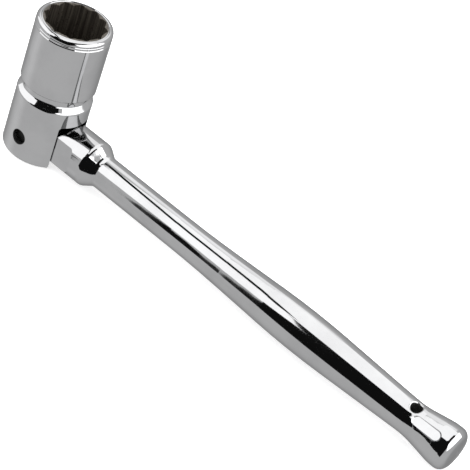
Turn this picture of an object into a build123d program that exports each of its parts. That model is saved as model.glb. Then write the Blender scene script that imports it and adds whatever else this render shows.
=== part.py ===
from build123d import *
import math
import os

# Scaffold ratchet wrench. A twelve-point socket turns on a ratchet in the neck of a yoke,
# and a round handle is pinned in the yoke's slot, so that it swings over the yoke's end.
# Millimetres. The origin is the centre of the socket's mouth. +Z points out of the mouth
# along the socket's axis, and +X runs along the handle.

os.makedirs("parts", exist_ok=True)

# Clearances that several pieces share
overrun = 1.0
running_fit = 0.05
seat_gap = 0.2
neck_gap = 0.5
full_turn = 360.0
quarter_turn = 90.0
half_turn = 180.0

# Socket: outside
socket_wall = 2.51
socket_length = 28.4
rim_round = 3.0
skirt_round = 0.6

# Socket: the recess for the nut
nut_across_flats = 22.2
nut_clearance = 0.3
hexagon_sides = 6
broach_depth = 17.0
broach_turn = 3.5
mouth_bevel = 0.5
bolt_bore_step = 0.45
bolt_bore_floor = 3.6
drill_point_depth = 1.8

# Socket: journal, pawl carrier and spindle below the skirt
journal_radius = 11.45
journal_length = 3.1
carrier_gap = 0.3
carrier_length = 4.9
spindle_radius = 4.0
spindle_tail = 0.4
seal_section = 1.0
seal_side_gap = 0.1

# Retaining ring and its washer, under the yoke's web
ring_thickness = 0.9
ring_groove_depth = 0.8
ring_stand = 1.5
ring_gap_angle = 70.0
washer_thickness = 0.4
washer_margin = 0.3
pocket_side_gap = 0.5
pocket_end_gap = 0.4

# Yoke: outside
neck_wall = 1.9
neck_length = 5.6
neck_top_break = 0.3
shoulder_width = 2.15
shoulder_round = 1.3
shoulder_fillet = 1.0
shoulder_tilt = 47.0
roof_gap = 0.35
ear_overhang = 0.05
ear_end_round = 1.6
slot_corner = 1.0
slot_edge_break = 0.35
web_thickness = 2.0

# Yoke: ratchet teeth broached in the neck
tooth_count = 24
tooth_depth = 0.9
tooth_root_share = 0.3
tooth_ramp_share = 0.9

# Pawls and their leaf springs
pawl_count = 3
pawl_pivot_inset = 1.9
pawl_root_radius = 1.3
pawl_waist_share = 0.88
pawl_tip_gap = 0.2
pawl_tip_height = 1.7
pawl_span_in_teeth = 1.73
pawl_side_gap = 0.15
pawl_floor_gap = 0.35
pocket_start = 0.4
pocket_heel_share = 0.62
pocket_end_in_teeth = 2.4
leaf_thickness = 0.25
leaf_height = 3.8
leaf_foot_start = 1.1
leaf_foot_length = 1.0
leaf_reach = 3.6

# Friction ball and spring in the end of the spindle
ball_radius = 1.5
ball_gap = 0.02
ball_bore_depth = 6.5
spring_wire = 0.45
spring_coil_radius = 1.2
spring_turns = 4.5

# Handle: round head with a milled tongue
head_radius = 10.05
tongue_cut = 2.0
tongue_side_gap = 0.25
tongue_reach = 6.25
tongue_corner = 1.8
tongue_draft = 31.0
tongue_edge_margin = 0.2

# Handle: shoulder, shaft and grip
shoulder_margin = 6.4
handle_shoulder_slope = 32.0
handle_shoulder_round = 3.0
handle_shoulder_fillet = 4.0
shaft_radius = 6.95
shaft_length = 54.51
swell_length = 51.04
swell_ease_share = 0.26
grip_radius = 9.18
grip_ease_share = 0.31
taper_length = 55.79

# Handle: waist, flared butt and its domed end
waist_radius = 6.86
waist_fillet = 36.0
flare_length = 13.1
crest_round = 20.0
butt_radius = 9.05
butt_length = 6.8
butt_round = 3.5
butt_dome_radius = 50.0

# Handle: lanyard hole and the bare oblong panel beside it
lanyard_radius = 2.3
lanyard_before_waist = 1.0
lanyard_turn = 10.0
lanyard_break = 0.6
panel_past_waist = 7.2
panel_turn = 46.0
panel_ease = 2.0
panel_depth = 0.61
panel_length = 12.4
panel_width = 3.6
panel_draft = 45.0
panel_cut = 2.5

# Pivot pin
pin_radius = 3.175
pin_recess = 2.2
pin_end_break = 0.5


def polar_point(radius, degrees):
    """A point at a radius from the axis and an angle from +X."""
    angle = math.radians(degrees)
    return (radius * math.cos(angle), radius * math.sin(angle))


# Levels, measured down from the mouth
neck_top = -(socket_length + neck_gap)
journal_bottom = -(socket_length + journal_length)
carrier_bottom = journal_bottom - carrier_length
chamber_floor = carrier_bottom - seat_gap
web_bottom = chamber_floor - web_thickness
washer_top = web_bottom - seat_gap / 2
washer_bottom = washer_top - washer_thickness
ring_top = washer_bottom - seat_gap / 2
ring_bottom = ring_top - ring_thickness
spindle_bottom = ring_bottom - spindle_tail
roof = spindle_bottom - pocket_end_gap
pin_level = roof - roof_gap - head_radius
ear_end = pin_level - head_radius - ear_overhang
shoulder_level = neck_top - neck_length
seal_level = -(socket_length + journal_length / 2)

# Radii that follow from the nut and from the fits
nut_half_width = (nut_across_flats + nut_clearance) / 2
nut_corner_radius = nut_half_width / math.cos(math.pi / hexagon_sides)
nut_tooth_radius = nut_half_width / math.cos(math.pi / (2 * hexagon_sides))
bolt_bore_radius = nut_half_width - bolt_bore_step
bolt_bore_depth = socket_length - bolt_bore_floor - drill_point_depth
socket_radius = nut_corner_radius + socket_wall
tooth_root_radius = journal_radius + running_fit
tooth_tip_radius = tooth_root_radius - tooth_depth
tooth_foot_radius = tooth_tip_radius - tooth_depth
tooth_pitch = full_turn / tooth_count
carrier_radius = tooth_tip_radius - carrier_gap
seal_groove_radius = journal_radius - seal_section - running_fit
seal_groove_width = seal_section + 2 * seal_side_gap
ring_inner_radius = spindle_radius - ring_groove_depth
ring_groove_radius = ring_inner_radius - running_fit
ring_outer_radius = spindle_radius + ring_stand
washer_radius = ring_outer_radius + washer_margin
pocket_radius = washer_radius + pocket_side_gap
neck_radius = tooth_root_radius + neck_wall
yoke_radius = neck_radius + shoulder_width
tongue_half = head_radius - tongue_cut
slot_half = tongue_half + tongue_side_gap

# Places along the handle, measured from the pin
tongue_length = yoke_radius + tongue_reach
shoulder_place = tongue_length + shoulder_margin
shoulder_run = (head_radius - shaft_radius) / math.tan(math.radians(handle_shoulder_slope))
shoulder_foot = shoulder_place + shoulder_run
swell_place = shoulder_foot + shaft_length
grip_place = swell_place + swell_length
waist_place = grip_place + taper_length
crest_place = waist_place + flare_length
handle_end = crest_place + butt_length
lanyard_place = waist_place - lanyard_before_waist
panel_place = waist_place + panel_past_waist

# Pawl's outline: its middle line runs from its pivot to its tip, close to the teeth
pawl_pivot_radius = carrier_radius - pawl_pivot_inset
pawl_pivot = (pawl_pivot_radius, 0)
pawl_waist = pawl_root_radius * pawl_waist_share
tip_radius = tooth_root_radius - pawl_tip_gap
tip_angle = -pawl_span_in_teeth * tooth_pitch
tip_outer = polar_point(tip_radius, tip_angle)
tip_inner = polar_point(tip_radius - pawl_tip_height, tip_angle)
pawl_length = math.dist(pawl_pivot, tip_outer)
along = ((tip_outer[0] - pawl_pivot_radius) / pawl_length, tip_outer[1] / pawl_length)
outward = (-along[1], along[0])


def pawl_point(run, rise):
    """A point beside the pawl: run from its pivot to its tip, rise towards the teeth."""
    x = pawl_pivot_radius + run * along[0] + rise * outward[0]
    y = run * along[1] + rise * outward[1]
    return (x, y)


def pocket_rise(run):
    """The pocket's outer wall stands a side gap off the pawl's outer face."""
    return pawl_waist * (1 - run / pawl_length) + pawl_side_gap


pocket_floor = pawl_pivot_radius - pawl_root_radius - pawl_floor_gap
pocket_run = pawl_length + overrun
end_angle = pocket_end_in_teeth * tooth_pitch
end_reach = pocket_floor / math.cos(math.radians(end_angle))

# Drive socket: barrel, journal, pawl carrier and spindle are one turned piece
rim_center = (socket_radius - rim_round, -rim_round)
skirt_center = (socket_radius - skirt_round, skirt_round - socket_length)

with BuildPart() as drive_socket:
    with BuildSketch(Plane.XZ):
        with BuildLine():
            rim = CenterArc(rim_center, rim_round, 0, quarter_turn)
            skirt = CenterArc(skirt_center, skirt_round, -quarter_turn, quarter_turn)
            Line(rim @ 0, skirt @ 1)
            Polyline(
                skirt @ 0,
                (journal_radius, -socket_length),
                (journal_radius, seal_level + seal_groove_width / 2),
                (seal_groove_radius, seal_level + seal_groove_width / 2),
                (seal_groove_radius, seal_level - seal_groove_width / 2),
                (journal_radius, seal_level - seal_groove_width / 2),
                (journal_radius, journal_bottom),
                (carrier_radius, journal_bottom),
                (carrier_radius, carrier_bottom),
                (spindle_radius, carrier_bottom),
                (spindle_radius, ring_top + running_fit),
                (ring_groove_radius, ring_top + running_fit),
                (ring_groove_radius, ring_bottom - running_fit),
                (spindle_radius, ring_bottom - running_fit),
                (spindle_radius, spindle_bottom),
                (0, spindle_bottom),
                (0, 0),
                rim @ 1,
            )
        make_face()
    revolve(axis=Axis.Z)

    # Twelve-point recess: two hexagons a twelfth of a turn apart, over a round bolt bore
    with BuildSketch(Plane.XY):
        RegularPolygon(nut_corner_radius, hexagon_sides, rotation=broach_turn)
        RegularPolygon(
            nut_corner_radius, hexagon_sides, rotation=broach_turn + full_turn / (2 * hexagon_sides)
        )
    extrude(amount=-broach_depth, mode=Mode.SUBTRACT)
    Cone(
        bottom_radius=nut_tooth_radius,
        top_radius=nut_tooth_radius + mouth_bevel,
        height=mouth_bevel,
        align=(Align.CENTER, Align.CENTER, Align.MAX),
        mode=Mode.SUBTRACT,
    )
    with BuildSketch(Plane.XZ):
        Polygon(
            (0, 0),
            (bolt_bore_radius, 0),
            (bolt_bore_radius, -bolt_bore_depth),
            (0, -(bolt_bore_depth + drill_point_depth)),
            align=None,
        )
    revolve(axis=Axis.Z, mode=Mode.SUBTRACT)

    # Blind bore in the spindle's end for the friction spring and its ball
    with BuildSketch(Plane.XY.offset(spindle_bottom)):
        Circle(ball_radius + running_fit)
    extrude(amount=ball_bore_depth, mode=Mode.SUBTRACT)

    # Pawl pockets: a round seat for the pawl's root, open along the pawl and past its tip
    with BuildSketch(Plane.XY.offset(carrier_bottom)):
        with PolarLocations(0, pawl_count):
            Polygon(
                pawl_point(pocket_start, pocket_rise(pocket_start)),
                pawl_point(pocket_run, pocket_rise(pocket_run)),
                polar_point(tooth_root_radius, -end_angle),
                polar_point(end_reach, -end_angle),
                (pocket_floor, -pawl_root_radius * pocket_heel_share),
                align=None,
            )
        with PolarLocations(pawl_pivot_radius, pawl_count):
            Circle(pawl_root_radius + running_fit)
    extrude(amount=journal_bottom - carrier_bottom, mode=Mode.SUBTRACT)

drive_socket.part.label = "drive_socket"
export_step(drive_socket.part, "parts/drive_socket.step")

# Seal ring in the journal's groove
with BuildPart() as seal_ring:
    with Locations((0, 0, seal_level)):
        Torus(journal_radius - seal_section / 2, seal_section / 2)

seal_ring.part.label = "seal_ring"
export_step(seal_ring.part, "parts/seal_ring.step")

# Pawls, and the leaf springs that press them out into the teeth
pawl_bottom = chamber_floor + seat_gap / 2
pawl_height = journal_bottom - chamber_floor - seat_gap
leaf_bottom = pawl_bottom + (pawl_height - leaf_height) / 2
leaf_center = pocket_floor + running_fit + leaf_thickness / 2
leaf_tip = pawl_point(leaf_reach, -(pawl_waist + running_fit + leaf_thickness))

for number in range(pawl_count):
    turn = number * full_turn / pawl_count

    with BuildPart() as pawl:
        with BuildSketch(Plane.XY.offset(pawl_bottom).rotated((0, 0, turn))):
            with Locations(pawl_pivot):
                Circle(pawl_root_radius)
            Polygon(
                pawl_point(0, pawl_waist), tip_outer, tip_inner, pawl_point(0, -pawl_waist),
                align=None,
            )
        extrude(amount=pawl_height)

    pawl.part.label = f"pawl_{number + 1}"
    export_step(pawl.part, f"parts/pawl_{number + 1}.step")

    with BuildPart() as pawl_spring:
        with BuildSketch(Plane.XY.offset(leaf_bottom).rotated((0, 0, turn))):
            with BuildLine():
                Polyline(
                    (leaf_center, -leaf_foot_start),
                    (leaf_center, -(leaf_foot_start + leaf_foot_length)),
                    leaf_tip,
                )
            trace(line_width=leaf_thickness)
        extrude(amount=leaf_height)

    pawl_spring.part.label = f"pawl_spring_{number + 1}"
    export_step(pawl_spring.part, f"parts/pawl_spring_{number + 1}.step")

# Thrust washer on the spindle, and the open ring that holds the socket in the yoke
with BuildPart() as thrust_washer:
    with BuildSketch(Plane.XY.offset(washer_bottom)):
        Circle(washer_radius)
        Circle(spindle_radius + running_fit, mode=Mode.SUBTRACT)
    extrude(amount=washer_thickness)

thrust_washer.part.label = "thrust_washer"
export_step(thrust_washer.part, "parts/thrust_washer.step")

with BuildPart() as retaining_ring:
    with BuildSketch(Plane.XY.offset(ring_bottom)):
        Circle(ring_outer_radius)
        Circle(ring_inner_radius, mode=Mode.SUBTRACT)
        Polygon(
            (0, 0),
            polar_point(2 * ring_outer_radius, half_turn - ring_gap_angle / 2),
            polar_point(2 * ring_outer_radius, half_turn + ring_gap_angle / 2),
            align=None,
            mode=Mode.SUBTRACT,
        )
    extrude(amount=ring_thickness)

retaining_ring.part.label = "retaining_ring"
export_step(retaining_ring.part, "parts/retaining_ring.step")

# Friction ball, which rides on the middle of the handle's crown, and the spring behind it
ball_level = pin_level + head_radius + ball_radius + ball_gap
spring_reach = ball_radius + spring_wire / 2 + running_fit
spring_bottom = ball_level + math.sqrt(spring_reach**2 - spring_coil_radius**2)
spring_top = spindle_bottom + ball_bore_depth - spring_wire / 2 - running_fit

with BuildPart() as friction_ball:
    with Locations((0, 0, ball_level)):
        Sphere(ball_radius)

friction_ball.part.label = "friction_ball"
export_step(friction_ball.part, "parts/friction_ball.step")

with BuildPart() as friction_spring:
    with BuildLine():
        coil = Helix(
            pitch=(spring_top - spring_bottom) / spring_turns,
            height=spring_top - spring_bottom,
            radius=spring_coil_radius,
            center=(0, 0, spring_bottom),
        )
    with BuildSketch(Plane(origin=coil @ 0, z_dir=coil % 0)):
        Circle(spring_wire / 2)
    sweep(is_frenet=True)

friction_spring.part.label = "friction_spring"
export_step(friction_spring.part, "parts/friction_spring.step")

# Yoke. Its shoulder is a rounded edge, a cone and a hollow that runs up into the neck
tilt = math.radians(shoulder_tilt)
shoulder_center = (yoke_radius - shoulder_round, shoulder_level)
cone_low = (
    shoulder_center[0] + shoulder_round * math.cos(tilt),
    shoulder_center[1] + shoulder_round * math.sin(tilt),
)
cone_high_radius = neck_radius + shoulder_fillet * (1 - math.cos(tilt))
cone_high_level = cone_low[1] + (cone_low[0] - cone_high_radius) / math.tan(tilt)
hollow_center = (neck_radius + shoulder_fillet, cone_high_level + shoulder_fillet * math.sin(tilt))
ear_center = (yoke_radius - ear_end_round, ear_end + ear_end_round)

with BuildPart() as yoke:
    with BuildSketch(Plane.XZ):
        with BuildLine():
            hollow = CenterArc(hollow_center, shoulder_fillet, half_turn, shoulder_tilt)
            shoulder = CenterArc(shoulder_center, shoulder_round, 0, shoulder_tilt)
            ear = CenterArc(ear_center, ear_end_round, -quarter_turn, quarter_turn)
            Line(hollow @ 1, shoulder @ 1)
            Line(shoulder @ 0, ear @ 1)
            Polyline(
                ear @ 0,
                (0, ear_end),
                (0, neck_top),
                (neck_radius - neck_top_break, neck_top),
                (neck_radius, neck_top - neck_top_break),
                hollow @ 0,
            )
        make_face()
    revolve(axis=Axis.Z)

    # Slot for the handle's tongue, open at the end and on both sides
    slot_plane = Plane(
        origin=(-(yoke_radius + overrun), 0, roof), x_dir=(0, 1, 0), z_dir=(1, 0, 0)
    )
    with BuildSketch(slot_plane):
        Rectangle(2 * slot_half, roof - ear_end + overrun, align=(Align.CENTER, Align.MAX))
        fillet(vertices().group_by(Axis.Y)[-1], slot_corner)
    extrude(amount=2 * (yoke_radius + overrun), mode=Mode.SUBTRACT)
    slot_edges = (
        edges(Select.LAST)
        .filter_by(Axis.Z)
        .filter_by_position(Axis.Z, ear_end, roof)
    )
    chamfer(slot_edges, slot_edge_break)

    # Journal bore in the neck, ratchet chamber, spindle bore and the ring's pocket in the roof
    with BuildSketch(Plane.XY.offset(neck_top)):
        Circle(tooth_root_radius)
    extrude(amount=journal_bottom - seat_gap - neck_top, mode=Mode.SUBTRACT)
    with BuildSketch(Plane.XY.offset(chamber_floor)):
        Circle(tooth_tip_radius)
    extrude(amount=neck_top - chamber_floor, mode=Mode.SUBTRACT)
    with BuildSketch(Plane.XY.offset(chamber_floor)):
        Circle(spindle_radius + running_fit)
    extrude(amount=-(web_thickness + overrun), mode=Mode.SUBTRACT)
    with BuildSketch(Plane.XY.offset(web_bottom)):
        Circle(pocket_radius)
    extrude(amount=roof - web_bottom - overrun, mode=Mode.SUBTRACT)

    # Ratchet teeth: each space has a square face, a root and a long ramp
    with BuildSketch(Plane.XY.offset(chamber_floor)):
        with PolarLocations(0, tooth_count):
            Polygon(
                (tooth_foot_radius, 0),
                (tooth_root_radius, 0),
                polar_point(tooth_root_radius, tooth_pitch * tooth_root_share),
                polar_point(tooth_tip_radius, tooth_pitch * tooth_ramp_share),
                polar_point(tooth_foot_radius, tooth_pitch * tooth_ramp_share),
                align=None,
            )
    extrude(amount=journal_bottom - chamber_floor, mode=Mode.SUBTRACT)

    # Cross hole for the pivot pin, through both ears
    with BuildSketch(Plane.XZ):
        with Locations((0, pin_level)):
            Circle(pin_radius)
    extrude(amount=yoke_radius + overrun, both=True, mode=Mode.SUBTRACT)

yoke.part.label = "yoke"
export_step(yoke.part, "parts/yoke.step")

# Pivot pin: its ends lie below the ears' faces
with BuildPart() as pivot_pin:
    with BuildSketch(Plane.XZ):
        with Locations((0, pin_level)):
            Circle(pin_radius)
    extrude(amount=yoke_radius - pin_recess, both=True)
    chamfer(pivot_pin.edges().filter_by(GeomType.CIRCLE), pin_end_break)

pivot_pin.part.label = "pivot_pin"
export_step(pivot_pin.part, "parts/pivot_pin.step")

# Handle. Its outline is turned about the handle's axis, then the tongue is milled
handle_axis = Axis((0, 0, pin_level), (1, 0, 0))
handle_plane = Plane(origin=(0, 0, pin_level), x_dir=(1, 0, 0), z_dir=(0, -1, 0))
rise_angle = math.atan2(grip_radius - shaft_radius, swell_length)
fall_angle = math.atan2(grip_radius - waist_radius, taper_length)
swell_round = swell_ease_share * swell_length / math.tan(rise_angle / 2)
grip_round = grip_ease_share * swell_length / math.tan((rise_angle + fall_angle) / 2)
butt_center_radius = butt_radius - butt_round
butt_angle = math.asin(butt_center_radius / (butt_dome_radius - butt_round))
butt_center = (
    handle_end - butt_dome_radius + (butt_dome_radius - butt_round) * math.cos(butt_angle),
    butt_center_radius,
)
dome_turn = math.degrees(butt_angle)

head_reach = head_radius + overrun
flat_half_height = math.sqrt(head_radius**2 - tongue_half**2) + tongue_edge_margin

with BuildPart() as handle:
    with BuildSketch(handle_plane):
        with BuildLine():
            outline = FilletPolyline(
                (-head_radius, head_radius),
                (shoulder_place, head_radius),
                (shoulder_foot, shaft_radius),
                (swell_place, shaft_radius),
                (grip_place, grip_radius),
                (waist_place, waist_radius),
                (crest_place, butt_radius),
                (butt_center[0], butt_radius),
                radius=(
                    handle_shoulder_round,
                    handle_shoulder_fillet,
                    swell_round,
                    grip_round,
                    waist_fillet,
                    crest_round,
                ),
            )
            CenterArc(butt_center, butt_round, dome_turn, quarter_turn - dome_turn)
            dome = CenterArc(
                (handle_end - butt_dome_radius, 0), butt_dome_radius, 0, dome_turn
            )
            Polyline(dome @ 0, (-head_radius, 0), outline @ 0)
        make_face()
    revolve(axis=handle_axis)

    # The nose is round about the pin
    with BuildSketch(handle_plane):
        Rectangle(head_reach, 2 * head_reach, align=(Align.MAX, Align.CENTER))
        Circle(head_radius, mode=Mode.SUBTRACT)
    extrude(amount=head_reach, both=True, mode=Mode.SUBTRACT)

    # The tongue's milled flats, which fit between the ears. Their ends are drafted
    for side in (-1, 1):
        flat_plane = Plane(
            origin=(tongue_length, side * tongue_half, pin_level),
            x_dir=(1, 0, 0),
            z_dir=(0, side, 0),
        )
        with BuildSketch(flat_plane):
            Rectangle(
                tongue_length + head_reach, 2 * flat_half_height, align=(Align.MAX, Align.CENTER)
            )
            fillet(vertices().group_by(Axis.X)[-1], tongue_corner)
        extrude(amount=head_reach - tongue_half, taper=-tongue_draft, mode=Mode.SUBTRACT)

    # Bore for the pivot pin
    with BuildSketch(handle_plane):
        Circle(pin_radius + running_fit)
    extrude(amount=head_reach, both=True, mode=Mode.SUBTRACT)

    # Lanyard hole across the waist, with rounded mouths
    hole_tilt = math.radians(lanyard_turn)
    lanyard_plane = Plane(
        origin=(lanyard_place, 0, pin_level),
        x_dir=(1, 0, 0),
        z_dir=(0, -math.sin(hole_tilt), math.cos(hole_tilt)),
    )
    with BuildSketch(lanyard_plane):
        Circle(lanyard_radius)
    extrude(amount=butt_radius + overrun, both=True, mode=Mode.SUBTRACT)
    fillet(edges(Select.LAST), lanyard_break)

    # Shallow oblong panel on the flare. Its floor leans with the flare, its walls are drafted
    panel_side = math.sin(math.radians(panel_turn))
    panel_up = math.cos(math.radians(panel_turn))
    flare_rise = butt_radius - waist_radius
    panel_floor_radius = (
        waist_radius + flare_rise * panel_past_waist / flare_length - panel_depth
    )
    lean = math.atan2(flare_rise, flare_length) - math.radians(panel_ease)
    panel_plane = Plane(
        origin=(
            panel_place,
            -panel_floor_radius * panel_side,
            pin_level + panel_floor_radius * panel_up,
        ),
        x_dir=(math.cos(lean), -math.sin(lean) * panel_side, math.sin(lean) * panel_up),
        z_dir=(-math.sin(lean), -math.cos(lean) * panel_side, math.cos(lean) * panel_up),
    )
    with BuildSketch(panel_plane):
        SlotOverall(panel_length, panel_width)
    extrude(amount=panel_cut, taper=-panel_draft, mode=Mode.SUBTRACT)

handle.part.label = "handle"
export_step(handle.part, "parts/handle.step")
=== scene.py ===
import math

import bmesh
import bpy
from mathutils import Euler, Matrix, Vector


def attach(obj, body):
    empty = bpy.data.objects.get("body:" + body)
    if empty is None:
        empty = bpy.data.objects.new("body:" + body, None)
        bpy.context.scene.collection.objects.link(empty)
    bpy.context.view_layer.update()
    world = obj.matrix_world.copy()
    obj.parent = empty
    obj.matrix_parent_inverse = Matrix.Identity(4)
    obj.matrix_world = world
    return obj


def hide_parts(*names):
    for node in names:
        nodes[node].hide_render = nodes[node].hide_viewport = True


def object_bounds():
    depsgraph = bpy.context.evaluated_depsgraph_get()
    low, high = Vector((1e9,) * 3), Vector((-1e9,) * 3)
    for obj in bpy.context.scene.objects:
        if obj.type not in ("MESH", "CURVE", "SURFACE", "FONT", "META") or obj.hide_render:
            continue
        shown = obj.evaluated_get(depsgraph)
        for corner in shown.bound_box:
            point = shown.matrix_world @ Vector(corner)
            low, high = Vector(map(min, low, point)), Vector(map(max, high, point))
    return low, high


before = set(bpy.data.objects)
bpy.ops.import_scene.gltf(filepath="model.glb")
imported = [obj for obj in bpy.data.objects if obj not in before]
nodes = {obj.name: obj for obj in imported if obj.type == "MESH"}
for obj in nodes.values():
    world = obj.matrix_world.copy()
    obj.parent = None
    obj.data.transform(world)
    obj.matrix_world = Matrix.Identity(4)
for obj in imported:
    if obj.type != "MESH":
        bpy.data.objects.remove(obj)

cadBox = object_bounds()
scene = bpy.context.scene
print("frame loaded:", len(nodes), "CAD nodes")


def gray(level):
    return (level, level, level, 1.0)


def newObject(name, data):
    thing = bpy.data.objects.new(name, data)
    scene.collection.objects.link(thing)
    return thing


# The node tree of a material or the world, with nothing in it yet
def emptyTree(owner):
    owner.use_nodes = True
    owner.node_tree.nodes.clear()
    return owner.node_tree


def newNode(tree, kind, place, **values):
    node = tree.nodes.new(kind)
    node.location = place
    for name, value in values.items():
        setattr(node, name, value)
    return node


# Puts a number, a color or another node's output into a socket
def feed(tree, value, socket):
    if isinstance(value, bpy.types.NodeSocket):
        tree.links.new(value, socket)
    else:
        socket.default_value = value


def mapRange(tree, place, value, low, high, outLow=0.0, outHigh=1.0, curve="LINEAR"):
    node = newNode(tree, "ShaderNodeMapRange", place, interpolation_type=curve)
    for label, entry in (("Value", value), ("From Min", low), ("From Max", high),
                         ("To Min", outLow), ("To Max", outHigh)):
        feed(tree, entry, node.inputs[label])
    return node.outputs[0]


def mathNode(tree, place, operation, *values):
    node = newNode(tree, "ShaderNodeMath", place, operation=operation)
    for index, value in enumerate(values):
        feed(tree, value, node.inputs[index])
    return node.outputs[0]


def whiteLight(tree, kind, place, strength):
    node = newNode(tree, kind, place)
    node.inputs["Color"].default_value = gray(1.0)
    feed(tree, strength, node.inputs["Strength"])
    return node.outputs[0]


# Camera, at the place and turn that the photo was taken from
cameraSetup = {
    "place": (0.36869, -0.52124, 0.39876),  # metres
    "turn": (51.6398, -16.8394, 40.3459),  # degrees about x, y and z
    "lens": 147.67,  # millimetres, as the sensor's width
    "sensor": 36.0,
    "near": 0.01,
    "far": 20.0,
}

cameraData = bpy.data.cameras.new("camera")
cameraData.lens = cameraSetup["lens"]
cameraData.sensor_width = cameraSetup["sensor"]
cameraData.clip_start = cameraSetup["near"]
cameraData.clip_end = cameraSetup["far"]
cameraObject = newObject("camera", cameraData)
cameraObject.location = cameraSetup["place"]
cameraObject.rotation_euler = Euler([math.radians(angle) for angle in cameraSetup["turn"]], "XYZ")
scene.camera = cameraObject
print("camera placed")

# Studio: a white world, a pale floor, soft lamps, and cards that only the metal mirrors
studio = {
    "aim": (0.09, 0.0, -0.05),
    "worldForRoom": 0.7,
    "worldSeen": 1.0,
    "floorColor": 0.9,
    "floorGlow": 0.6,
    "floorSize": 6.0,
    "floorGap": 0.0002,  # below the lowest point of the wrench
}

# Cards: heading, height and turn in degrees, distance, size and shift in metres. A card turns and
# shifts in its own plane, glows white at its level, and fades in over a soft share of its width
# and height.
darkLevel = 0.012
cards = {
    "darkRoom": {"heading": 289.9, "height": 20.0, "distance": 1.5, "size": (2.21, 2.53),
                 "turn": -17.7, "shift": (-0.28, 0.0), "level": darkLevel, "soft": (0.0, 0.0)},
    "darkHigh": {"heading": 308.0, "height": 59.0, "distance": 1.15, "size": (0.7, 0.27),
                 "turn": 0.0, "shift": (-0.08, 0.0), "level": darkLevel, "soft": (0.0, 0.0)},
    "darkLow": {"heading": 254.4, "height": 4.4, "distance": 0.52, "size": (0.29, 0.2),
                "turn": 0.0, "shift": (0.03, 0.0), "level": darkLevel, "soft": (0.06, 0.0)},
    "darkFar": {"heading": 240.3, "height": 3.8, "distance": 6.0, "size": (0.44, 1.63),
                "turn": 0.0, "shift": (0.0, 0.0), "level": darkLevel, "soft": (0.0, 0.0)},
    "leftBox": {"heading": 204.6, "height": 36.6, "distance": 1.4, "size": (1.85, 1.14),
                "turn": -0.4, "shift": (0.0, 0.0), "level": 2.6, "soft": (0.0, 0.0)},
    "topBox": {"heading": 150.4, "height": 83.6, "distance": 1.2, "size": (1.54, 0.97),
               "turn": 24.5, "shift": (0.0, 0.0), "level": 2.5, "soft": (0.0, 0.0)},
    "darkStrip": {"heading": 0.0, "height": 72.2, "distance": 1.176, "size": (1.07, 0.42),
                  "turn": 0.0, "shift": (-0.215, 0.0), "level": darkLevel, "soft": (0.0, 0.0)},
    "frameBar": {"heading": 221.0, "height": 62.84, "distance": 0.5, "size": (0.75, 0.05),
                 "turn": -12.6, "shift": (-0.3, 0.0), "level": 0.03, "soft": (0.0, 0.0)},
    "darkCorner": {"heading": 204.6, "height": 36.6, "distance": 1.39, "size": (0.6, 0.4),
                   "turn": -36.2, "shift": (0.281, 0.975), "level": darkLevel, "soft": (0.0, 0.0)},
    "rightBox": {"heading": 14.0, "height": 34.0, "distance": 1.3, "size": (2.5, 1.3),
                 "turn": 5.5, "shift": (-0.15, 0.0), "level": 4.0, "soft": (0.1, 0.02)},
    "backGlow": {"heading": 128.0, "height": 44.0, "distance": 1.6, "size": (2.0, 1.1),
                 "turn": 0.0, "shift": (0.0, 0.0), "level": 2.1, "soft": (0.25, 0.35)},
    "tableGlow": {"heading": 188.0, "height": -36.0, "distance": 1.4, "size": (2.0, 1.6),
                  "turn": 0.0, "shift": (0.0, 0.0), "level": 1.3, "soft": (0.4, 0.3)},
}

# Lamps: placed and sized as the cards are, with their power in watts
lamps = {
    "topLamp": {"heading": 150.0, "height": 78.0, "distance": 1.3, "size": (1.5, 1.1),
                "power": 15.0},
    "leftLamp": {"heading": 205.0, "height": 38.0, "distance": 1.5, "size": (1.6, 1.0),
                 "power": 6.0},
    "rightLamp": {"heading": 8.0, "height": 36.0, "distance": 1.4, "size": (1.8, 0.7),
                  "power": 5.0},
}


# The place and turn of a card or lamp that faces the aim from this heading and height
def aimed(heading, height, distance, turn=0.0):
    heading, height, turn = (math.radians(angle) for angle in (heading, height, turn))
    out = Vector((math.cos(height) * math.cos(heading), math.cos(height) * math.sin(heading),
                  math.sin(height)))
    side = Vector((-math.sin(heading), math.cos(heading), 0.0))
    rise = out.cross(side)
    right = side * math.cos(turn) + rise * math.sin(turn)
    up = rise * math.cos(turn) - side * math.sin(turn)
    matrix = Matrix((right, up, out)).transposed().to_4x4()
    matrix.translation = Vector(studio["aim"]) + out * distance
    return matrix


# One for camera, glossy and transmission rays, nought for the rays that light the object
def whiteRays(tree, place):
    path = newNode(tree, "ShaderNodeLightPath", place)
    mirrored = mathNode(tree, (place[0] + 200, place[1]), "MAXIMUM",
                        path.outputs["Is Camera Ray"], path.outputs["Is Glossy Ray"])
    return mathNode(tree, (place[0] + 380, place[1]), "MAXIMUM",
                    mirrored, path.outputs["Is Transmission Ray"])


world = bpy.data.worlds.new("studioWorld")
worldTree = emptyTree(world)
roomLight = whiteLight(worldTree, "ShaderNodeBackground", (0, 0), studio["worldForRoom"])
whiteBack = whiteLight(worldTree, "ShaderNodeBackground", (0, -150), studio["worldSeen"])
worldMix = newNode(worldTree, "ShaderNodeMixShader", (200, 0))
worldOut = newNode(worldTree, "ShaderNodeOutputWorld", (400, 0))
worldTree.links.new(whiteRays(worldTree, (-600, 200)), worldMix.inputs[0])
worldTree.links.new(roomLight, worldMix.inputs[1])
worldTree.links.new(whiteBack, worldMix.inputs[2])
worldTree.links.new(worldMix.outputs[0], worldOut.inputs["Surface"])
scene.world = world


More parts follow.
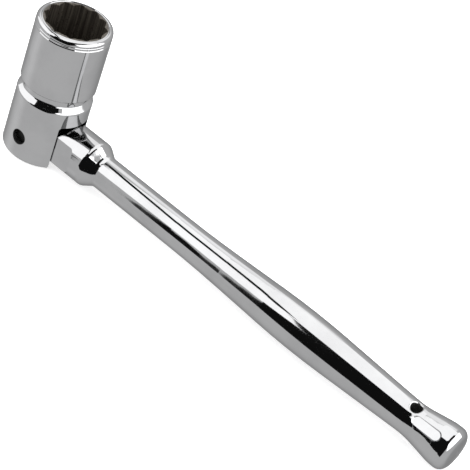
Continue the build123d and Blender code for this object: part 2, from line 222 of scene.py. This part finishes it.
def stagePlane(name, matrix, size, material):
    shape = bmesh.new()
    shape.loops.layers.uv.new("UVMap")
    bmesh.ops.create_grid(shape, x_segments=1, y_segments=1, size=0.5, calc_uvs=True)
    bmesh.ops.scale(shape, vec=(*size, 1.0), verts=shape.verts)  # the grid is one metre wide
    bmesh.ops.transform(shape, matrix=matrix, verts=shape.verts)
    mesh = bpy.data.meshes.new(name)
    shape.to_mesh(mesh)
    shape.free()
    mesh.materials.append(material)
    plane = newObject(name, mesh)
    return plane


# How far a card has faded in from the two edges of one direction
def fadeIn(tree, place, across, soft):
    back = mathNode(tree, place, "SUBTRACT", 1.0, across)
    near = mathNode(tree, (place[0] + 180, place[1]), "MINIMUM", across, back)
    return mapRange(tree, (place[0] + 360, place[1]), near, 0.0, soft, curve="SMOOTHSTEP")


def cardMaterial(name, level, soft):
    material = bpy.data.materials.new(name)
    tree = emptyTree(material)
    glow = whiteLight(tree, "ShaderNodeEmission", (0, 0), level)
    out = newNode(tree, "ShaderNodeOutputMaterial", (400, 0))
    if not any(soft):
        tree.links.new(glow, out.inputs["Surface"])
        return material
    coords = newNode(tree, "ShaderNodeTexCoord", (-1000, 300))
    parts = newNode(tree, "ShaderNodeSeparateXYZ", (-800, 300))
    tree.links.new(coords.outputs["UV"], parts.inputs[0])
    fadedAcross = fadeIn(tree, (-600, 400), parts.outputs["X"], soft[0])
    fadedUp = fadeIn(tree, (-600, 150), parts.outputs["Y"], soft[1])
    both = mathNode(tree, (-20, 300), "MULTIPLY", fadedAcross, fadedUp)
    clear = newNode(tree, "ShaderNodeBsdfTransparent", (0, -150))
    mix = newNode(tree, "ShaderNodeMixShader", (200, 0))
    tree.links.new(both, mix.inputs[0])
    tree.links.new(clear.outputs[0], mix.inputs[1])
    tree.links.new(glow, mix.inputs[2])
    tree.links.new(mix.outputs[0], out.inputs["Surface"])
    return material


for name, card in cards.items():
    matrix = aimed(card["heading"], card["height"], card["distance"], card["turn"])
    matrix = matrix @ Matrix.Translation((*card["shift"], 0.0))
    plane = stagePlane(name, matrix, card["size"], cardMaterial(name, card["level"], card["soft"]))
    plane.visible_camera = False
    plane.visible_diffuse = False
    plane.visible_shadow = False
    plane.visible_transmission = False

for name, lamp in lamps.items():
    lampData = bpy.data.lights.new(name, "AREA")
    lampData.shape = "RECTANGLE"
    lampData.size = lamp["size"][0]
    lampData.size_y = lamp["size"][1]
    lampData.energy = lamp["power"]
    lampObject = newObject(name, lampData)
    lampObject.matrix_world = aimed(lamp["heading"], lamp["height"], lamp["distance"])
    lampObject.visible_camera = False
    lampObject.visible_glossy = False

floorMaterial = bpy.data.materials.new("paleFloor")
floorTree = emptyTree(floorMaterial)
floorColor = newNode(floorTree, "ShaderNodeBsdfDiffuse", (0, 0))
floorColor.inputs["Color"].default_value = gray(studio["floorColor"])
floorStrength = mathNode(floorTree, (-200, -150), "MULTIPLY",
                         whiteRays(floorTree, (-800, -150)), studio["floorGlow"])
floorGlow = whiteLight(floorTree, "ShaderNodeEmission", (0, -150), floorStrength)
floorSum = newNode(floorTree, "ShaderNodeAddShader", (200, 0))
floorTree.links.new(floorColor.outputs[0], floorSum.inputs[0])
floorTree.links.new(floorGlow, floorSum.inputs[1])
floorOut = newNode(floorTree, "ShaderNodeOutputMaterial", (400, 0))
floorTree.links.new(floorSum.outputs[0], floorOut.inputs["Surface"])

floorLevel = cadBox[0][2] - studio["floorGap"]
floor = stagePlane("floor", Matrix.Translation((0.0, 0.0, floorLevel)),
                   (studio["floorSize"], studio["floorSize"]), floorMaterial)
floor.visible_glossy = False
print("studio built")


def newGroup(name, inputs, outputs):
    tree = bpy.data.node_groups.new(name, "ShaderNodeTree")
    for label, kind, value in inputs:
        socket = tree.interface.new_socket(name=label, in_out="INPUT", socket_type=kind)
        socket.default_value = value
    for label in outputs:
        tree.interface.new_socket(name=label, in_out="OUTPUT", socket_type="NodeSocketFloat")
    start = newNode(tree, "NodeGroupInput", (-1100, 0))
    end = newNode(tree, "NodeGroupOutput", (900, 0))
    return tree, start, end


def noise(tree, place, vector, scale, detail, rough):
    node = newNode(tree, "ShaderNodeTexNoise", place)
    for label, value in (("Vector", vector), ("Scale", scale), ("Detail", detail),
                         ("Roughness", rough)):
        feed(tree, value, node.inputs[label])
    return node.outputs[0]


def mixColor(tree, place, factor, first, second):
    node = newNode(tree, "ShaderNodeMix", place, data_type="RGBA")
    tree.links.new(factor, node.inputs["Factor"])
    colors = [socket for socket in node.inputs if socket.type == "RGBA"]
    for socket, value in zip(colors, (first, second)):
        feed(tree, value, socket)
    return [socket for socket in node.outputs if socket.type == "RGBA"][0]


def mapped(tree, place, vector, kind, location=(0, 0, 0), rotation=(0, 0, 0), scale=(1, 1, 1)):
    node = newNode(tree, "ShaderNodeMapping", place, vector_type=kind)
    node.inputs["Location"].default_value = location
    node.inputs["Rotation"].default_value = rotation
    node.inputs["Scale"].default_value = scale
    tree.links.new(vector, node.inputs["Vector"])
    return node.outputs[0]


# Handling wear of a polished plate: hazy smudges, hairline scratches and a faint ripple. The two
# scales are for a material that sets none.
wear = {
    "hazeScale": 60.0,
    "hazeDetail": 4.0,
    "hazeRough": 0.6,
    "hazeRange": (0.4, 0.75),
    "scratchScale": 900.0,
    "scratchDetail": 2.0,
    "scratchRough": 0.5,
    "scratchTurn": (0.3, 0.15, 0.4),  # radians about x, y and z
    "scratchStretch": (0.05, 1.0, 0.6),
    "scratchRange": (0.66, 0.74),
    "rippleScale": 95.0,
    "rippleDetail": 1.0,
    "rippleRough": 0.4,
}

wearGroup, wearIn, wearOut = newGroup(
    "handlingWear",
    [("Vector", "NodeSocketVector", (0.0, 0.0, 0.0)),
     ("Haze Scale", "NodeSocketFloat", wear["hazeScale"]),
     ("Scratch Scale", "NodeSocketFloat", wear["scratchScale"])],
    ["Haze", "Scratches", "Ripple"],
)
hazeNoise = noise(wearGroup, (-600, 300), wearIn.outputs["Vector"], wearIn.outputs["Haze Scale"],
                  wear["hazeDetail"], wear["hazeRough"])
hazeMask = mapRange(wearGroup, (-350, 300), hazeNoise, *wear["hazeRange"])
wearGroup.links.new(hazeMask, wearOut.inputs["Haze"])
scratchPlace = mapped(wearGroup, (-800, 0), wearIn.outputs["Vector"], "POINT",
                      rotation=wear["scratchTurn"], scale=wear["scratchStretch"])
scratchNoise = noise(wearGroup, (-600, 0), scratchPlace, wearIn.outputs["Scratch Scale"],
                     wear["scratchDetail"], wear["scratchRough"])
scratchMask = mapRange(wearGroup, (-350, 0), scratchNoise, *wear["scratchRange"])
wearGroup.links.new(scratchMask, wearOut.inputs["Scratches"])
rippleNoise = noise(wearGroup, (-600, -300), wearIn.outputs["Vector"], wear["rippleScale"],
                    wear["rippleDetail"], wear["rippleRough"])
wearGroup.links.new(rippleNoise, wearOut.inputs["Ripple"])

# One inside a radius about the vector's z axis, nought outside it. The radius and the width of its
# edge, metres, are for a material that sets none.
bore = {
    "radius": 0.002,
    "edge": 0.0001,
}

boreGroup, boreIn, boreOut = newGroup(
    "insideBore",
    [("Vector", "NodeSocketVector", (0.0, 0.0, 0.0)),
     ("Radius", "NodeSocketFloat", bore["radius"]),
     ("Edge", "NodeSocketFloat", bore["edge"])],
    ["Mask"],
)
boreParts = newNode(boreGroup, "ShaderNodeSeparateXYZ", (-800, 0))
boreGroup.links.new(boreIn.outputs["Vector"], boreParts.inputs[0])
boreFlat = newNode(boreGroup, "ShaderNodeCombineXYZ", (-600, 0))
for label in ("X", "Y"):
    boreGroup.links.new(boreParts.outputs[label], boreFlat.inputs[label])
boreLength = newNode(boreGroup, "ShaderNodeVectorMath", (-400, 0), operation="LENGTH")
boreGroup.links.new(boreFlat.outputs[0], boreLength.inputs[0])
boreFar = mathNode(boreGroup, (-200, -200), "ADD", boreIn.outputs["Radius"],
                   boreIn.outputs["Edge"])
boreMask = mapRange(boreGroup, (0, 0), boreLength.outputs["Value"], boreIn.outputs["Radius"],
                    boreFar, 1.0, 0.0)
boreGroup.links.new(boreMask, boreOut.inputs["Mask"])

# Lines that a tool leaves: turned rings about z, straight grain along z, and uneven patches. The
# pitch and the two scales are for a material that sets none.
toolMarks = {
    "pitch": 3000.0,
    "ringWander": 0.6,
    "ringDetail": 1.0,
    "grainScale": 2500.0,
    "grainStretch": (1.0, 1.0, 0.03),
    "grainDetail": 3.0,
    "grainRough": 0.5,
    "grainRange": (0.32, 0.68),
    "patchScale": 400.0,
    "patchDetail": 3.0,
    "patchRough": 0.6,
    "patchRange": (0.35, 0.7),
}

toolGroup, toolIn, toolOut = newGroup(
    "toolMarks",
    [("Vector", "NodeSocketVector", (0.0, 0.0, 0.0)),
     ("Pitch", "NodeSocketFloat", toolMarks["pitch"]),
     ("Grain Scale", "NodeSocketFloat", toolMarks["grainScale"]),
     ("Patch Scale", "NodeSocketFloat", toolMarks["patchScale"])],
    ["Rings", "Grain", "Patches"],
)
toolRings = newNode(toolGroup, "ShaderNodeTexWave", (-400, 300), wave_type="RINGS",
                    rings_direction="Z", wave_profile="SIN")
for label, value in (("Vector", toolIn.outputs["Vector"]), ("Scale", toolIn.outputs["Pitch"]),
                     ("Distortion", toolMarks["ringWander"]),
                     ("Detail", toolMarks["ringDetail"])):
    feed(toolGroup, value, toolRings.inputs[label])
toolGroup.links.new(toolRings.outputs["Fac"], toolOut.inputs["Rings"])
grainPlace = mapped(toolGroup, (-700, 0), toolIn.outputs["Vector"], "POINT",
                    scale=toolMarks["grainStretch"])
grainNoise = noise(toolGroup, (-400, 0), grainPlace, toolIn.outputs["Grain Scale"],
                   toolMarks["grainDetail"], toolMarks["grainRough"])
grainMask = mapRange(toolGroup, (-150, 0), grainNoise, *toolMarks["grainRange"])
toolGroup.links.new(grainMask, toolOut.inputs["Grain"])
patchNoise = noise(toolGroup, (-400, -300), toolIn.outputs["Vector"],
                   toolIn.outputs["Patch Scale"], toolMarks["patchDetail"],
                   toolMarks["patchRough"])
patchMask = mapRange(toolGroup, (-150, -300), patchNoise, *toolMarks["patchRange"])
toolGroup.links.new(patchMask, toolOut.inputs["Patches"])
print("shared effects built")


def groupNode(tree, group, place, vector, values):
    node = newNode(tree, "ShaderNodeGroup", place)
    node.node_tree = group
    tree.links.new(vector, node.inputs["Vector"])
    for label, value in values.items():
        node.inputs[label].default_value = value
    return node


def blankMaterial(name):
    material = bpy.data.materials.new(name)
    tree = emptyTree(material)
    shader = newNode(tree, "ShaderNodeBsdfPrincipled", (900, 0))
    out = newNode(tree, "ShaderNodeOutputMaterial", (1200, 0))
    tree.links.new(shader.outputs[0], out.inputs["Surface"])
    coords = newNode(tree, "ShaderNodeTexCoord", (-1300, 0))
    return material, tree, shader, coords.outputs["Object"]


def bumpNode(tree, place, height, distance, normal=None):
    node = newNode(tree, "ShaderNodeBump", place)
    node.inputs["Distance"].default_value = distance
    tree.links.new(height, node.inputs["Height"])
    if normal is not None:
        tree.links.new(normal, node.inputs["Normal"])
    return node.outputs[0]


def assign(nodeName, material):
    for item in nodes[nodeName].material_slots:
        item.material = material


# Chrome of the handle, the yoke and the socket, with the depths in metres
chrome = {
    "color": (0.375, 0.376, 0.380, 1.0),
    "worn": (0.33, 0.33, 0.335, 1.0),
    "edgeTint": 0.45,
    "smooth": 0.035,
    "hazy": 0.085,
    "scratchRough": 0.05,
    "ripple": 0.00002,
    "scratchDepth": 0.000002,
    "hazeScale": 55.0,
    "scratchScale": 700.0,
}


# Bright plate all over, and where the mask is one, painted shade inside a hole, a slot or a recess
def plated(name, makeShadeMask, inside):
    material, tree, shader, place = blankMaterial(name)
    handled = groupNode(tree, wearGroup, (-900, 100), place,
                        {"Haze Scale": chrome["hazeScale"],
                         "Scratch Scale": chrome["scratchScale"]})
    marks = groupNode(tree, toolGroup, (-900, -400), place,
                      {"Grain Scale": inside["grainScale"], "Patch Scale": inside["patchScale"]})
    paintedShadeMask = makeShadeMask(tree, place)
    bright = mixColor(tree, (-100, 500), handled.outputs["Haze"], chrome["color"], chrome["worn"])
    paintedShade = mixColor(tree, (-100, 250), marks.outputs["Grain"], inside["color"], inside["streak"])
    # Painted shade: where the mask is one, the walls take the dark colour with lighter grain
    color = mixColor(tree, (300, 400), paintedShadeMask, bright, paintedShade)
    tree.links.new(color, shader.inputs["Base Color"])
    haze = mapRange(tree, (-300, 0), handled.outputs["Haze"], 0.0, 1.0,
                    chrome["smooth"], chrome["hazy"])
    scratched = mathNode(tree, (-300, -200), "MULTIPLY_ADD", handled.outputs["Scratches"],
                         chrome["scratchRough"], haze)
    dullRough = mapRange(tree, (-300, -400), marks.outputs["Patches"], 0.0, 1.0,
                         inside["smooth"], inside["rough"])
    step = mathNode(tree, (0, -200), "SUBTRACT", dullRough, scratched)
    rough = mathNode(tree, (200, -100), "MULTIPLY_ADD", step, paintedShadeMask, scratched)
    tree.links.new(rough, shader.inputs["Roughness"])
    metal = mapRange(tree, (300, 150), paintedShadeMask, 0.0, 1.0, 1.0, inside["metallic"])
    tree.links.new(metal, shader.inputs["Metallic"])
    shader.inputs["Specular IOR Level"].default_value = inside["specular"]
    shader.inputs["Specular Tint"].default_value = gray(chrome["edgeTint"])
    ripple = bumpNode(tree, (100, -500), handled.outputs["Ripple"], chrome["ripple"])
    scratch = mathNode(tree, (100, -700), "MULTIPLY", handled.outputs["Scratches"], -1.0)
    scratchNormal = bumpNode(tree, (350, -500), scratch, chrome["scratchDepth"], ripple)
    cut = mathNode(tree, (350, -750), "MULTIPLY", marks.outputs["Grain"], paintedShadeMask)
    tree.links.new(bumpNode(tree, (600, -500), cut, inside["depth"], scratchNormal),
                   shader.inputs["Normal"])
    return material


# Handle: bright plate, with painted shade on the walls of the lanyard hole
lanyardHoleShade = {
    "place": (0.1935, 0.0, -0.0513),
    "tilt": math.radians(10.0),
    "radius": 0.00236,
    "edge": 0.00015,
    "color": (0.045, 0.044, 0.042, 1.0),
    "streak": (0.10, 0.10, 0.10, 1.0),
    "smooth": 0.28,
    "rough": 0.42,
    "metallic": 0.6,
    "specular": 0.3,
    "depth": 0.00002,
    "grainScale": 2500.0,
    "patchScale": 500.0,
}


def lanyardShadeMask(tree, place):
    turned = mapped(tree, (-900, 700), place, "TEXTURE", location=lanyardHoleShade["place"],
                    rotation=(lanyardHoleShade["tilt"], 0.0, 0.0))
    hole = groupNode(tree, boreGroup, (-600, 700), turned,
                     {"Radius": lanyardHoleShade["radius"], "Edge": lanyardHoleShade["edge"]})
    return hole.outputs["Mask"]


assign("handle", plated("chromeHandle", lanyardShadeMask, lanyardHoleShade))

# Yoke: bright plate, painted shade on the milled walls of the slot and of the pin's hole along y
yokeShadeInside = {
    "pinPlace": (0.0, 0.0, -0.0513),
    "pinTurn": (math.radians(90.0), 0.0, 0.0),
    "pinRadius": 0.0033,
    "pinEdge": 0.0001,
    "slotHalf": 0.0081,
    "slotEdge": 0.0002,
    "slotTop": -0.0411,
    "color": (0.05, 0.05, 0.05, 1.0),
    "streak": (0.12, 0.12, 0.12, 1.0),
    "smooth": 0.25,
    "rough": 0.4,
    "metallic": 0.8,
    "specular": 0.3,
    "depth": 0.00002,
    "grainScale": 2200.0,
    "patchScale": 450.0,
}


def yokeShadeMask(tree, place):
    turned = mapped(tree, (-900, 700), place, "TEXTURE", location=yokeShadeInside["pinPlace"],
                    rotation=yokeShadeInside["pinTurn"])
    hole = groupNode(tree, boreGroup, (-600, 700), turned,
                     {"Radius": yokeShadeInside["pinRadius"], "Edge": yokeShadeInside["pinEdge"]})
    parts = newNode(tree, "ShaderNodeSeparateXYZ", (-900, 900))
    tree.links.new(place, parts.inputs[0])
    side = mathNode(tree, (-700, 900), "ABSOLUTE", parts.outputs["Y"])
    between = mapRange(tree, (-500, 900), side, yokeShadeInside["slotHalf"],
                       yokeShadeInside["slotHalf"] + yokeShadeInside["slotEdge"], 1.0, 0.0)
    below = mapRange(tree, (-500, 1100), parts.outputs["Z"], yokeShadeInside["slotTop"],
                     yokeShadeInside["slotTop"] + yokeShadeInside["slotEdge"], 1.0, 0.0)
    slot = mathNode(tree, (-300, 1000), "MULTIPLY", between, below)
    return mathNode(tree, (-100, 900), "MAXIMUM", hole.outputs["Mask"], slot)


assign("yoke", plated("chromeYoke", yokeShadeMask, yokeShadeInside))

# Socket: bright plate, with painted shade, dark brown, on the broached walls of the recess
recessShade = {
    "radius": 0.01306,
    "edge": 0.00008,
    "lowest": -0.030,
    "lowestEdge": 0.0005,
    "color": (0.030, 0.025, 0.020, 1.0),
    "streak": (0.100, 0.088, 0.072, 1.0),
    "smooth": 0.26,
    "rough": 0.40,
    "metallic": 0.25,
    "specular": 0.5,
    "depth": 0.00004,
    "grainScale": 1500.0,
    "patchScale": 260.0,
}


def recessShadeMask(tree, place):
    hole = groupNode(tree, boreGroup, (-600, 700), place,
                     {"Radius": recessShade["radius"], "Edge": recessShade["edge"]})
    parts = newNode(tree, "ShaderNodeSeparateXYZ", (-900, 900))
    tree.links.new(place, parts.inputs[0])
    above = mapRange(tree, (-500, 900), parts.outputs["Z"], recessShade["lowest"],
                     recessShade["lowest"] + recessShade["lowestEdge"])
    return mathNode(tree, (-300, 800), "MULTIPLY", hole.outputs["Mask"], above)


socketChrome = plated("chromeSocket", recessShadeMask, recessShade)

# Rim of the socket, metres: two turned lines round a straight band, and a tighter edge round the
# mouth than the CAD solid has. Each row of a profile is radius and level.
rim = {
    "steps": 180,
    "edgeRows": 12,
    "edgeRadius": 0.0017,
    "edgeCenter": 0.01375,
    "landInner": 0.01370,
    "mouthLow": (0.01346, -0.00026),
    "innerLow": (0.01346, -0.0031),
    "bandLow": (0.01530, -0.0031),
    "bandLift": 0.0001,
    "lowLine": ((0.0158, -0.00280), (0.01528, -0.00306), (0.01528, -0.00314), (0.0158, -0.00396)),
    "highLine": ((0.0157, -0.00172), (0.01532, -0.00194), (0.01532, -0.00200), (0.0157, -0.00258)),
    "weld": 0.000001,
    "sharp": math.radians(28.0),
}


def turnedRing(name, profile):
    ring = bmesh.new()
    corners = [ring.verts.new((radius, 0.0, level)) for radius, level in profile]
    sides = [ring.edges.new((corners[i - 1], corners[i])) for i in range(len(corners))]
    bmesh.ops.spin(ring, geom=corners + sides, cent=(0, 0, 0), axis=(0, 0, 1), dvec=(0, 0, 0),
                   angle=2.0 * math.pi, steps=rim["steps"], use_merge=True,
                   use_normal_flip=False, use_duplicate=False)
    bmesh.ops.remove_doubles(ring, verts=ring.verts, dist=rim["weld"])
    bmesh.ops.recalc_face_normals(ring, faces=ring.faces)
    mesh = bpy.data.meshes.new(name)
    ring.to_mesh(mesh)
    ring.free()
    return newObject(name, mesh)


def edgeProfile():
    rows = [rim["mouthLow"], rim["innerLow"], rim["bandLow"],
            (rim["edgeCenter"] + rim["edgeRadius"], rim["bandLow"][1] + rim["bandLift"])]
    for row in range(rim["edgeRows"] + 1):
        turn = math.radians(90.0) * row / rim["edgeRows"]
        rows.append((rim["edgeCenter"] + rim["edgeRadius"] * math.cos(turn),
                     rim["edgeRadius"] * (math.sin(turn) - 1.0)))
    rows.append((rim["landInner"], 0.0))
    return rows


# The solid's loose triangles are joined first, so that the rings can cut the shape
socketShape = bmesh.new()
socketShape.from_mesh(nodes["drive_socket"].data)
bmesh.ops.remove_doubles(socketShape, verts=socketShape.verts, dist=rim["weld"])
socketMesh = bpy.data.meshes.new("turned_socket")
socketShape.to_mesh(socketMesh)
socketShape.free()
socketPiece = newObject("turned_socket", socketMesh)

# The ring fills the solid's round up to the tighter edge, then the two lines are cut
for ringName, profile, operation in (("edgeRing", edgeProfile(), "UNION"),
                                     ("lowLine", rim["lowLine"], "DIFFERENCE"),
                                     ("highLine", rim["highLine"], "DIFFERENCE")):
    cutter = turnedRing(ringName, profile)
    step = socketPiece.modifiers.new(ringName, "BOOLEAN")
    step.operation = operation
    step.solver = "EXACT"
    step.object = cutter
    cutMesh = bpy.data.meshes.new_from_object(
        socketPiece.evaluated_get(bpy.context.evaluated_depsgraph_get()))
    socketPiece.modifiers.clear()
    socketPiece.data = cutMesh
    bpy.data.objects.remove(cutter)

# Doubled points and faces of no width go, and edges past the limit are marked sharp
rimShape = bmesh.new()
rimShape.from_mesh(socketPiece.data)
bmesh.ops.remove_doubles(rimShape, verts=rimShape.verts, dist=rim["weld"])
bmesh.ops.dissolve_degenerate(rimShape, edges=rimShape.edges, dist=rim["weld"])
bmesh.ops.triangulate(rimShape, faces=rimShape.faces)
for face in rimShape.faces:
    face.smooth = True
for edge in rimShape.edges:
    edge.smooth = len(edge.link_faces) == 2 and edge.calc_face_angle(0.0) < rim["sharp"]
openEdges = sum(1 for edge in rimShape.edges if len(edge.link_faces) != 2)
rimShape.to_mesh(socketPiece.data)
print("socket's rim turned:", len(rimShape.faces), "faces,", openEdges, "open edges")
rimShape.free()
socketPiece.data.materials.clear()
socketPiece.data.materials.append(socketChrome)
weighted = socketPiece.modifiers.new("weighted", "WEIGHTED_NORMAL")
weighted.keep_sharp = True
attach(socketPiece, "socket")
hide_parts("drive_socket")
print("plated pieces finished")


# Plain steel or rubber with the marks of its making
def machined(name, values):
    material, tree, shader, place = blankMaterial(name)
    turned = mapped(tree, (-1100, 0), place, "TEXTURE", location=values["place"],
                    rotation=values["turn"])
    marks = groupNode(tree, toolGroup, (-800, 0), turned,
                      {"Pitch": values["pitch"], "Grain Scale": values["grainScale"],
                       "Patch Scale": values["patchScale"]})
    lines = marks.outputs[values["lines"]]
    toned = mixColor(tree, (-200, 300), marks.outputs["Patches"], values["color"], values["patch"])
    lineShare = mathNode(tree, (-200, 550), "MULTIPLY", lines, values["lineTone"])
    color = mixColor(tree, (100, 300), lineShare, toned, values["worn"])
    tree.links.new(color, shader.inputs["Base Color"])
    rough = mapRange(tree, (-200, 0), marks.outputs["Patches"], 0.0, 1.0,
                     values["smooth"], values["rough"])
    tree.links.new(rough, shader.inputs["Roughness"])
    shader.inputs["Metallic"].default_value = values["metallic"]
    patchNormal = bumpNode(tree, (100, -400), marks.outputs["Patches"], values["patchDepth"])
    tree.links.new(bumpNode(tree, (400, -400), lines, values["lineDepth"], patchNormal),
                   shader.inputs["Normal"])
    return material


pinSteel = {
    "place": yokeShadeInside["pinPlace"], "turn": yokeShadeInside["pinTurn"], "lines": "Rings",
    "pitch": 900.0, "grainScale": 1500.0, "patchScale": 700.0, "color": (0.008, 0.008, 0.008, 1.0),
    "patch": (0.014, 0.014, 0.013, 1.0), "worn": (0.035, 0.035, 0.035, 1.0), "lineTone": 0.3,
    "smooth": 0.34, "rough": 0.5, "metallic": 0.9, "patchDepth": 0.00001, "lineDepth": 0.00001,
}
springSteel = {
    "place": (0.0, 0.0, 0.0), "turn": (0.0, 0.0, 0.0), "lines": "Grain", "pitch": 900.0,
    "grainScale": 3000.0, "patchScale": 350.0, "color": (0.075, 0.085, 0.125, 1.0),
    "patch": (0.125, 0.105, 0.095, 1.0), "worn": (0.26, 0.26, 0.27, 1.0), "lineTone": 0.25,
    "smooth": 0.22, "rough": 0.36, "metallic": 1.0, "patchDepth": 0.000004,
    "lineDepth": 0.000004,
}
washerSteel = {
    "place": (0.0, 0.0, 0.0), "turn": (0.0, 0.0, 0.0), "lines": "Rings", "pitch": 700.0,
    "grainScale": 2500.0, "patchScale": 300.0, "color": (0.50, 0.50, 0.51, 1.0),
    "patch": (0.42, 0.42, 0.43, 1.0), "worn": (0.60, 0.60, 0.60, 1.0), "lineTone": 0.5,
    "smooth": 0.24, "rough": 0.36, "metallic": 1.0, "patchDepth": 0.000003,
    "lineDepth": 0.000004,
}
pawlSteel = {
    "place": (0.0, 0.0, 0.0), "turn": (0.0, 0.0, 0.0), "lines": "Grain", "pitch": 900.0,
    "grainScale": 3500.0, "patchScale": 500.0, "color": (0.27, 0.265, 0.26, 1.0),
    "patch": (0.20, 0.19, 0.18, 1.0), "worn": (0.45, 0.45, 0.45, 1.0), "lineTone": 0.4,
    "smooth": 0.26, "rough": 0.42, "metallic": 1.0, "patchDepth": 0.000004,
    "lineDepth": 0.000005,
}
ballSteel = {
    "place": (0.0, 0.0, 0.0), "turn": (0.0, 0.0, 0.0), "lines": "Rings", "pitch": 1800.0,
    "grainScale": 3000.0, "patchScale": 900.0, "color": (0.58, 0.58, 0.59, 1.0),
    "patch": (0.52, 0.52, 0.53, 1.0), "worn": (0.45, 0.45, 0.46, 1.0), "lineTone": 0.3,
    "smooth": 0.07, "rough": 0.16, "metallic": 1.0, "patchDepth": 0.000001,
    "lineDepth": 0.000001,
}
sealRubber = {
    "place": (0.0, 0.0, 0.0), "turn": (0.0, 0.0, 0.0), "lines": "Rings", "pitch": 600.0,
    "grainScale": 1800.0, "patchScale": 1200.0, "color": (0.020, 0.020, 0.020, 1.0),
    "patch": (0.030, 0.029, 0.028, 1.0), "worn": (0.055, 0.053, 0.050, 1.0), "lineTone": 0.3,
    "smooth": 0.55, "rough": 0.75, "metallic": 0.0, "patchDepth": 0.00001,
    "lineDepth": 0.00001,
}

assign("pivot_pin", machined("darkPinSteel", pinSteel))
bluedSteel = machined("bluedSpringSteel", springSteel)
for nodeName in ("retaining_ring", "pawl_spring_1", "pawl_spring_2", "pawl_spring_3",
                 "friction_spring"):
    assign(nodeName, bluedSteel)
assign("thrust_washer", machined("turnedWasherSteel", washerSteel))
groundSteel = machined("groundPawlSteel", pawlSteel)
for nodeName in ("pawl_1", "pawl_2", "pawl_3"):
    assign(nodeName, groundSteel)
assign("friction_ball", machined("polishedBallSteel", ballSteel))
assign("seal_ring", machined("blackSealRubber", sealRubber))
print("inner pieces finished")

scene.view_settings.view_transform = "Standard"
